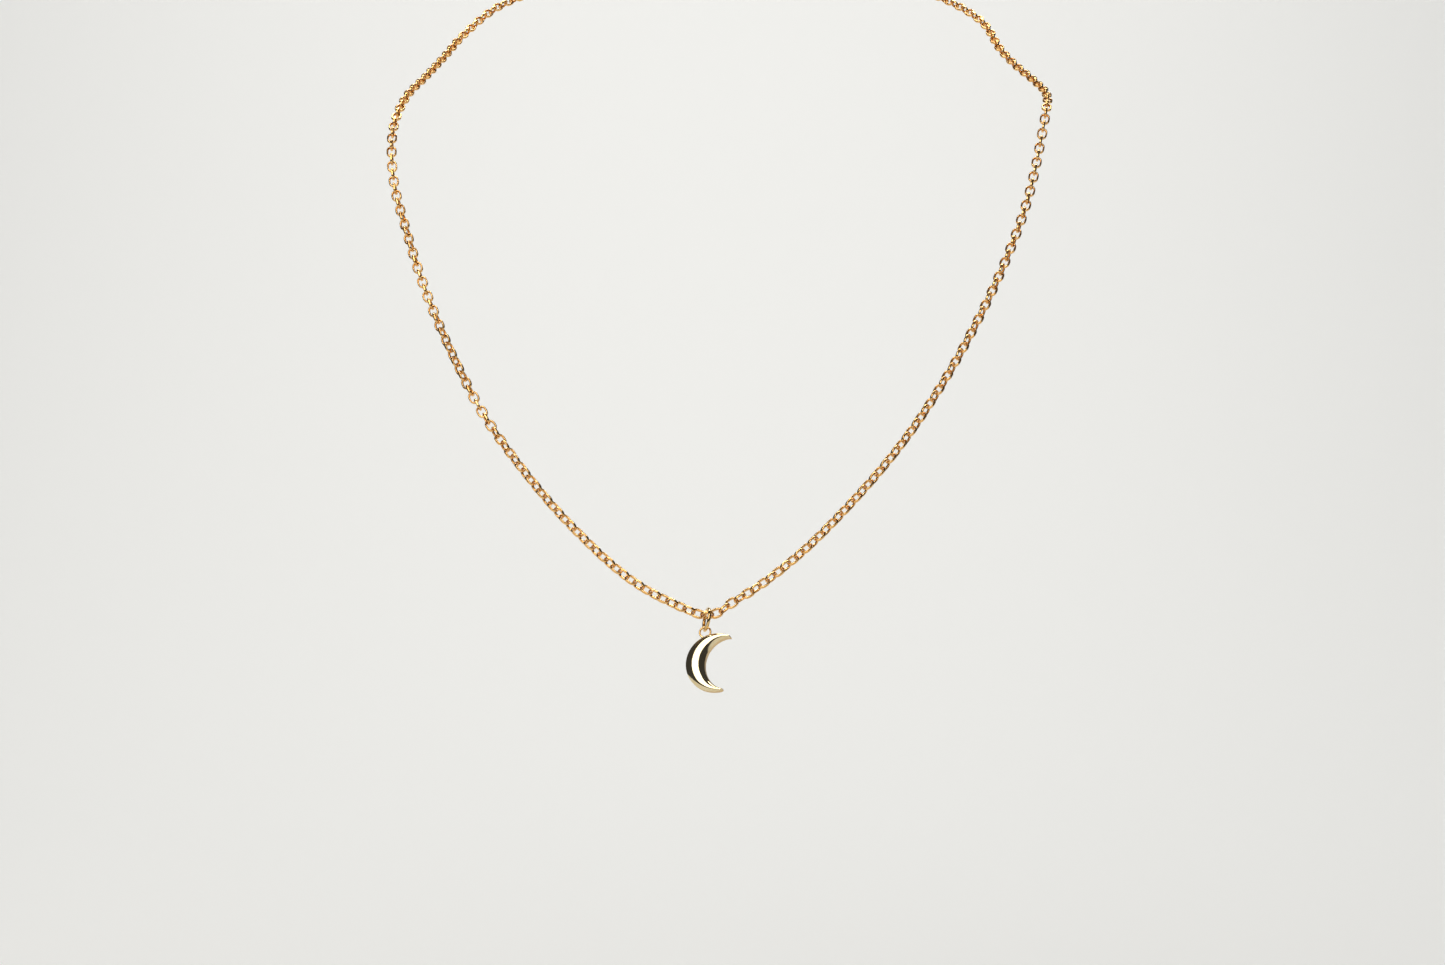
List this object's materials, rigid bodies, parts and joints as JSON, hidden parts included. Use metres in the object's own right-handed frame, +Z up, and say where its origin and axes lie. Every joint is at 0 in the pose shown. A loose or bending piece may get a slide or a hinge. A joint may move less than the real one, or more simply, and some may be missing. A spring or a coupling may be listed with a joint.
{
  "type": "pendant necklace",
  "caption": "Fine gold-toned oval cable chain with a puffed crescent moon on a ring bail and a lobster clasp, in its worn shape.",
  "frame": {"origin": "middle of the neck opening, at the height of the clasp", "axes": "+Z up, -Y to the front where the pendant hangs, +X to the right of a person who faces the wearer"},
  "size_m": [0.135, 0.1289, 0.1579],
  "materials": {
    "chain_gold": "polished, flat-faced wire",
    "pale_gold": "high polish",
    "clasp_gold": "cast and tumbled to a shine",
    "spring_steel": "drawn wire"
  },
  "bodies": {
    "nape_chain": {"left_chain_9": "chain_gold", "left_chain_10": "chain_gold", "left_chain_11": "chain_gold", "left_chain_12": "chain_gold", "left_chain_13": "chain_gold", "left_chain_14": "chain_gold", "left_chain_15": "chain_gold", "right_chain_9": "chain_gold", "right_chain_10": "chain_gold", "right_chain_11": "chain_gold", "right_chain_12": "chain_gold", "right_chain_13": "chain_gold", "right_chain_14": "chain_gold", "right_chain_15": "chain_gold"},
    "upper_drape": {"left_chain_5": "chain_gold", "left_chain_6": "chain_gold", "left_chain_7": "chain_gold", "left_chain_8": "chain_gold", "right_chain_5": "chain_gold", "right_chain_6": "chain_gold", "right_chain_7": "chain_gold", "right_chain_8": "chain_gold"},
    "lower_drape": {"left_chain_1": "chain_gold", "left_chain_2": "chain_gold", "left_chain_3": "chain_gold", "left_chain_4": "chain_gold", "right_chain_1": "chain_gold", "right_chain_2": "chain_gold", "right_chain_3": "chain_gold", "right_chain_4": "chain_gold"},
    "bail": {"bail_ring": "pale_gold"},
    "moon": {"crescent_moon": "pale_gold", "moon_loop": "pale_gold"},
    "clasp": {"clasp_body": "clasp_gold", "clasp_rivet": "clasp_gold", "clasp_spring": "spring_steel", "clasp_end_ring": "clasp_gold", "catch_ring": "clasp_gold"},
    "lever": {"clasp_lever": "clasp_gold"}
  },
  "joints": [
    {"name": "shoulder_swing", "type": "hinge", "parent": "nape_chain", "child": "upper_drape", "pos_m": [-0.00117, -0.04048, -0.04823], "axis": [-1, -0.0044, -0.0065], "range_deg": [0, 45]},
    {"name": "drape_swing", "type": "hinge", "parent": "upper_drape", "child": "lower_drape", "pos_m": [-0.00307, -0.06843, -0.10093], "axis": [-0.9998, -0.0098, -0.0185], "range_deg": [0, 25]},
    {"name": "bail_swing", "type": "hinge", "parent": "lower_drape", "child": "bail", "pos_m": [-0.00278, -0.08976, -0.14139], "axis": [-0.9999, -0.0069, -0.0131], "range_deg": [0, 90]},
    {"name": "moon_sway", "type": "hinge", "parent": "bail", "child": "moon", "pos_m": [-0.00311, -0.09086, -0.14384], "axis": [-0.2711, -0.8867, 0.3746], "range_deg": [-40, 40]},
    {"name": "clasp_roll", "type": "hinge", "parent": "nape_chain", "child": "clasp", "pos_m": [0.00005, 0.03, 0.0003], "axis": [0.9989, 0, 0.0464], "range_deg": [-25, 25]},
    {"name": "lever_press", "type": "hinge", "parent": "clasp", "child": "lever", "pos_m": [-0.00042, 0.03, -0.0012], "axis": [0, -1, 0], "range_deg": [0, 25], "stiffness_Nm_per_rad": 0.0001, "springref_deg": -11.46}
  ]
}
